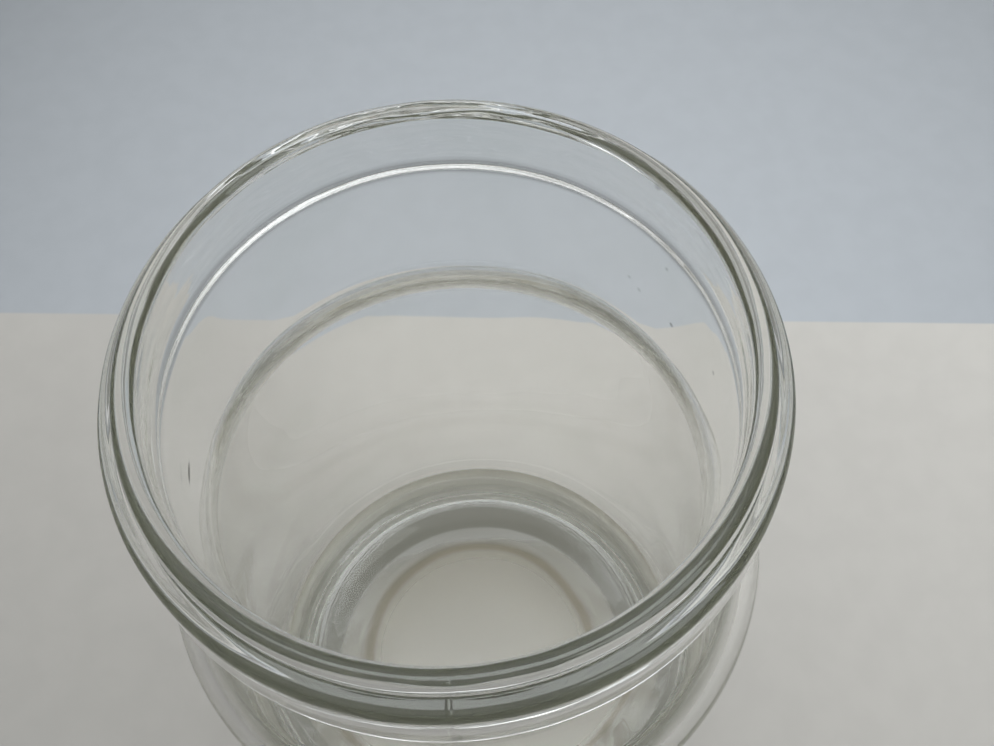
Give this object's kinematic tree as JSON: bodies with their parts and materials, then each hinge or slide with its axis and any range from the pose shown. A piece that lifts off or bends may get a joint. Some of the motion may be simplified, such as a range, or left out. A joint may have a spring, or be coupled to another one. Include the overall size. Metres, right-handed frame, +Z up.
{
  "type": "gas jar",
  "caption": "Wide-mouthed clear glass jar with a rounded lip, a moulded collar, a straight neck, a wide throat, a sloping shoulder and a heavy base over a deep hollow, for collecting and holding gas.",
  "frame": {"origin": "centre of the foot, on the plane that the jar stands on", "axes": "+Z up along the axis of the jar"},
  "size_m": [0.1262, 0.1262, 0.211],
  "materials": {
    "glass": "clear moulded glass, fire-polished"
  },
  "bodies": {
    "root": {"jar": "glass"}
  },
  "joints": []
}
